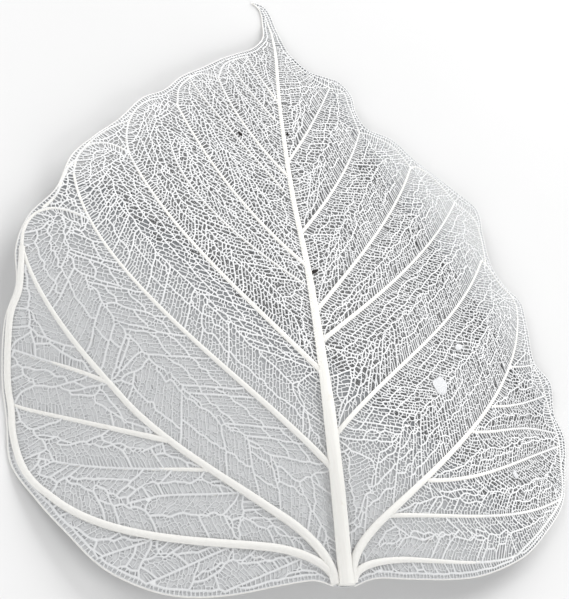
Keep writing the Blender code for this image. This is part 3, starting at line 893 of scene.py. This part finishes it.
# Strands that turn by less than STRAIGHT, the sine of the angle, have no corner. Where a hole
# would be smaller than SMALLEST_HOLE in square mm, its strands are slimmed by the next factor.
STRAIGHT = 0.3
SMALLEST_HOLE = 0.008
SLIMMER = (1.0, 0.8, 0.6, 0.4)


def corner_offset(point, before, after, half_before, half_after):
    """From a strand joint to the corner of the hole on its left, between two strands."""
    back = (before - point).normalized()
    ahead = (after - point).normalized()
    spread = ahead.cross(back)
    if abs(spread) < STRAIGHT and ahead.dot(back) < 0:
        return Vector((-ahead.y, ahead.x)) * (half_before + half_after) / 2
    spread = math.copysign(max(abs(spread), STRAIGHT), spread)
    return (back * half_after + ahead * half_before) / spread


def hole_corners(face, half_layer):
    """Corners of the hole in one mesh of the net, or None where its strands fill it."""
    ring = [loop.vert.co.to_2d() for loop in face.loops]
    halves = [loop.edge[half_layer] for loop in face.loops]
    for slimness in SLIMMER:
        corners = []
        for i, point in enumerate(ring):
            after = ring[(i + 1) % len(ring)]
            corners.append(point + corner_offset(point, ring[i - 1], after,
                                                 halves[i - 1] * slimness, halves[i] * slimness))
        turned = any((corners[i] - corners[i - 1]).dot(ring[i] - ring[i - 1]) <= 0
                     for i in range(len(ring)))
        area = sum(a.cross(b) for a, b in zip(corners, corners[1:] + corners[:1])) / 2
        if not turned and area > SMALLEST_HOLE:
            return [corner.to_3d() for corner in corners]
    return None


# The edge of a strand is lower than its middle, and painted greyer as shade. Underneath all is
# painted grey as shade.
CROWN_SHARE = 0.8
SHADED_EDGE = 0.62
SHADED_UNDERSIDE = 0.13
HOLE_INSET = 0.01
# Half the film's thickness and the width of its edge in mm, and how clean it is where it is full.
FILM_HALF = 0.03
FILM_EDGE = 0.03
CLEAN_FILM = 0.5
SHARP_ON_NET = 40.0


def open_and_close(net):
    """Open each mesh of a flat net or span it with film, crown its strands and make it solid."""
    half_layer = net.edges.layers.float['half']
    tall_layer = net.verts.layers.float['tall']
    clean_and_lit_layer = net.verts.layers.float['clean_and_lit']
    film_layer = net.faces.layers.float['film']
    upside_down = [face for face in net.faces if face.normal.z < 0]
    bmesh.ops.delete(net, geom=upside_down, context='FACES')
    for vert in net.verts:
        if vert.is_boundary:
            vert[tall_layer] *= CROWN_SHARE
    holes = {face: hole_corners(face, half_layer) for face in net.faces}
    holes = {face: corners for face, corners in holes.items() if corners}
    tops = {face: [(vert[tall_layer], vert[clean_and_lit_layer]) for vert in face.verts] for face in holes}
    bmesh.ops.inset_individual(net, faces=list(holes), thickness=HOLE_INSET)
    for face, corners in holes.items():
        for vert, corner, (tall, clean_and_lit) in zip(face.verts, corners, tops[face]):
            vert.co = corner
            vert[tall_layer] = tall * CROWN_SHARE
            # Painted shade: the strand's edge is greyer.
            vert[clean_and_lit_layer] = clean_and_lit * SHADED_EDGE
    closed = [face for face in holes if face[film_layer]]
    opened = [face for face in holes if not face[film_layer]]
    bmesh.ops.delete(net, geom=opened, context='FACES_ONLY')
    bmesh.ops.inset_individual(net, faces=closed, thickness=FILM_EDGE)
    # Painted shade: the thinner the film, the darker its grey, as the shade under the leaf would show
    # through it.
    for face in closed:
        for vert in face.verts:
            vert[tall_layer] = FILM_HALF
            vert[clean_and_lit_layer] = CLEAN_FILM * face[film_layer]
    under = set(net.verts)
    under_faces = net.faces[:]
    bmesh.ops.extrude_face_region(net, geom=under_faces, use_keep_orig=True)
    bmesh.ops.reverse_faces(net, faces=under_faces)
    for vert in net.verts:
        vert.co.z = NET_MIDDLE + (-vert[tall_layer] if vert in under else vert[tall_layer])
        # Painted shade: all underneath is grey.
        if vert in under:
            vert[clean_and_lit_layer] = SHADED_UNDERSIDE


# Bleached net: cooler white than the veins, thin as thread and dead matt, so only the light's
# fall tells one strand from the next. Its fibres are too fine to see, so its two tones lie in
# clouds about 3 mm across.
net_fibre = fibre_material('bleached_net_fibre', '#FAFAFA', '#EFF0F1', '#D0C5B5',
                           fleck_share=0.15, per_metre=(350.0, 350.0, 350.0),
                           roughness=0.8, bump=0.0)

# The net is laid in six parts that meet under veins, so that none is too heavy. The midrib parts
# left from right, but for its last points, where the drip tip turns back.
TIP_POINTS = 6
part_layer = net.faces.layers.int.new('part')
dividers = {}
for name in ('l3', 'l5', 'r3', 'r5'):
    line = vein_line(SIDE_VEINS[name][0][:CURVE + 1])
    dividers[name] = ([abs(p.x) for p in line], [p.y for p in line])
midrib_at = ([p.y for p in midrib_line[:-TIP_POINTS]], [p.x for p in midrib_line[:-TIP_POINTS]])
for face in net.faces:
    middle = face.calc_center_median()
    side = 'l' if middle.x < np.interp(middle.y, *midrib_at) else 'r'
    passed = [middle.y > np.interp(abs(middle.x), *dividers[side + number]) for number in '35']
    face[part_layer] = 'lr'.index(side) * 3 + sum(passed)
PARTS = ('net_lower_left', 'net_middle_left', 'net_upper_left',
         'net_lower_right', 'net_middle_right', 'net_upper_right')
for part, name in enumerate(PARTS):
    piece = net.copy()
    layer = piece.faces.layers.int['part']
    others = [face for face in piece.faces if face[layer] != part]
    bmesh.ops.delete(piece, geom=others, context='FACES')
    open_and_close(piece)
    lay_piece(name, piece, net_fibre, sharp=SHARP_ON_NET)
net.free()

# Free ends
# Many of the finest strands grew into a mesh and stopped there: short thorns of the same fibre,
# fixed to the net at their thick end.

# How far a thorn reaches on the way across its mesh, and its radii at its root and its end for
# a fine strand's half width.
FREE_SHARE = (0.5, 0.8)
THORN_ROOT = 1.1
THORN_END = 0.6
THORN_SIDES = 5
ALL_SMOOTH = 180.0
bm = bmesh.new()
for start, end, _ in free_ends:
    way = (end - start) * draw.uniform(*FREE_SHARE)
    if way.length < SHORTEST_STRAND:
        continue
    middle = start + way / 2
    turn = math.atan2(way.y, way.x)
    pose = (Matrix.Translation((middle.x, middle.y, NET_MIDDLE)) @ Matrix.Rotation(turn, 4, 'Z')
            @ Matrix.Rotation(math.pi / 2, 4, 'Y'))
    bmesh.ops.create_cone(bm, cap_ends=True, segments=THORN_SIDES, depth=way.length, matrix=pose,
                          radius1=FINE_HALF * THORN_ROOT, radius2=FINE_HALF * THORN_END)
clean_and_lit_layer = bm.verts.layers.float.new('clean_and_lit')
# Painted shade: thorns are grey underneath, and greyer at the base and the left lobe.
for vert in bm.verts:
    upper = vert.co.z > NET_MIDDLE
    vert[clean_and_lit_layer] = clean_and_lit_at(vert.co, CLEAN_FINE, NET_SHADED) if upper else SHADED_UNDERSIDE
lay_piece('free_ends', bm, net_fibre, sharp=ALL_SMOOTH)

# Scraps of the blade
# A few scraps of the old blade cling to the net, thin as paper: bleached white ones on the right.
# Beside the midrib dark flakes of the same make are painted shade, standing for small dark holes.

# Middle in mm, half length, half width and turn in degrees.
WHITE_SCRAPS = [((24.8, 32.7), 1.8, 1.6, 60.0), ((31.2, 40.8), 0.9, 0.6, 20.0),
                ((38.2, 17.4), 0.8, 0.5, 100.0)]
# Painted shade: dark flakes where the net has small holes that look dark.
HOLE_SHADE_SPECKS = [((2.5, 52.4), 0.95, 0.34, 28.0), ((-7.8, 80.7), 0.55, 0.33, -55.0),
               ((2.3, 82.8), 0.4, 0.25, 95.0)]
SCRAP_CORNERS = 14
# How far out the corners lie and how wide the rim is, for a scrap of radius 1.
RAGGED = (0.84, 1.06)
SCRAP_RIM = 0.25
# In mm.
SCRAP_THICKNESS = 0.09
SCRAP_CURL = 0.12


def scrap(bm, middle, half_length, half_width, turn):
    """A ragged disc, crowned in its middle and curled at its rim, that rests on the net."""
    rim = bmesh.ops.create_circle(bm, cap_ends=True, segments=SCRAP_CORNERS, radius=1.0)['verts']
    disc = rim[0].link_faces[0]
    for vert in rim:
        vert.co *= draw.uniform(*RAGGED)
        vert.co.z = draw.uniform(0.0, SCRAP_CURL)
    bmesh.ops.inset_individual(bm, faces=[disc], thickness=SCRAP_RIM, depth=SCRAP_CURL / 2)
    crown = bmesh.ops.poke(bm, faces=[disc])['faces']
    top = {face for vert in rim for face in vert.link_faces} | set(crown)
    solid = bmesh.ops.extrude_face_region(bm, geom=list(top), use_keep_orig=True)['geom']
    bmesh.ops.reverse_faces(bm, faces=list(top))
    raised = [item for item in solid if isinstance(item, bmesh.types.BMVert)]
    bmesh.ops.translate(bm, verts=raised, vec=(0.0, 0.0, SCRAP_THICKNESS))
    whole = {vert for face in top for vert in face.verts} | set(raised)
    rest = NET_MIDDLE + STRAND_HEIGHT * FINE_HALF
    pose = (Matrix.Translation((*middle, rest)) @ Matrix.Rotation(math.radians(turn), 4, 'Z')
            @ Matrix.Diagonal((half_length, half_width, 1.0, 1.0)))
    bmesh.ops.transform(bm, matrix=pose, verts=list(whole))


# Dead leaf tissue, matt and rough as paper, mottled in spots about 0.4 mm across: the bleached
# scraps are white. The dark flakes are painted shade, brown black, for small dark holes in the net.
for name, scraps, *tissue_and_shade_tones in (
        ('white_scraps', WHITE_SCRAPS, 'bleached_leaf_tissue', '#EAEAEB', '#C8CACD', '#C0B8AC'),
        ('dark_specks', HOLE_SHADE_SPECKS, 'dark_leaf_tissue', '#2A2422', '#181412', '#3A322C')):
    tissue_and_hole_shade = fibre_material(*tissue_and_shade_tones, fleck_share=0.2, per_metre=(2500.0, 2500.0, 2500.0),
                            roughness=0.85, bump=0.4)
    bm = bmesh.new()
    for place in scraps:
        scrap(bm, *place)
    clean_and_lit_layer = bm.verts.layers.float.new('clean_and_lit')
    for vert in bm.verts:
        vert[clean_and_lit_layer] = 1.0
    lay_piece(name, bm, tissue_and_hole_shade)

# Floor, light and camera
# A plain pale board carries the leaf. Wide soft lamps stand round it, so that the floor under
# the net lies in its shade while the ridges of the veins stay bright.

# Half the board's side in metres.
FLOOR_HALF = 1.5
bm = bmesh.new()
bmesh.ops.create_grid(bm, x_segments=1, y_segments=1, size=FLOOR_HALF)
mesh = bpy.data.meshes.new('floor')
bm.to_mesh(mesh)
bm.free()
floor = in_scene('floor', mesh)
# Matt white card: one soft pale tone, mottled so faintly that only its evenness tells the eye
# that it is dull paper and not plastic.
board = bpy.data.materials.new('matt_white_board')
board.use_nodes = True
tree = board.node_tree
place = add(tree, 'ShaderNodeTexCoord').outputs['Object']
mottle = noise(tree, place, scale=30.0, detail=3.0)
tone = mixed(tree, mottle, linear('#DADADA'), linear('#DEDEDE'))
tree.links.new(tone, tree.nodes['Principled BSDF'].inputs['Base Color'])
tree.nodes['Principled BSDF'].inputs['Roughness'].default_value = 0.9
mesh.materials.append(board)

# Sizes in metres. Each lamp has its azimuth and its height in degrees, and its power in watts.
LAMP_DISTANCE = 1.2
LAMP_SIZE = 0.9
LAMPS = [('lamp_upper_right', 50.0, 26.0, 16.0), ('lamp_upper_left', 140.0, 26.0, 10.5),
         ('lamp_lower_right', 320.0, 26.0, 10.0), ('lamp_lower_left', 230.0, 26.0, 9.5)]
for name, azimuth, elevation, power in LAMPS:
    turn = math.radians(azimuth)
    lift = math.radians(elevation)
    away = Vector((math.cos(turn) * math.cos(lift), math.sin(turn) * math.cos(lift),
                   math.sin(lift)))
    lamp = bpy.data.lights.new(name, 'AREA')
    lamp.size = LAMP_SIZE
    lamp.energy = power
    holder = in_scene(name, lamp)
    holder.location = away * LAMP_DISTANCE
    holder.rotation_euler = away.to_track_quat('Z', 'Y').to_euler()

ROOM_LIGHT = 0.13
world = bpy.data.worlds.new('soft_room')
bpy.context.scene.world = world
world.use_nodes = True
world.node_tree.nodes['Background'].inputs['Color'].default_value = (1.0, 1.0, 1.0, 1.0)
world.node_tree.nodes['Background'].inputs['Strength'].default_value = ROOM_LIGHT
bpy.context.scene.view_settings.view_transform = 'Standard'

# The camera looks down on the leaf from the lower left, about 50 degrees above the surface. Its
# place is in mm from the midrib's foot, and its axes point right, up and back.
CAMERA_PLACE = (-73.08, -23.79, 122.28)
CAMERA_AXES = ((0.88689, -0.13328, 0.44234), (-0.10054, 0.87885, 0.46639),
               (-0.45090, -0.45811, 0.76604))
camera = bpy.data.cameras.new('camera')
camera.lens = 55.0
camera.sensor_width = 36.0
camera.clip_start = 0.005
camera.clip_end = 20.0
viewer = in_scene('camera', camera)
turned = Matrix(CAMERA_AXES).transposed().to_4x4()
shift = Vector((CAMERA_PLACE[0] - OUTLINE_MIDDLE[0], CAMERA_PLACE[1] - OUTLINE_MIDDLE[1],
                CAMERA_PLACE[2])) * MM
viewer.matrix_world = Matrix.Translation(shift) @ turned
bpy.context.scene.camera = viewer
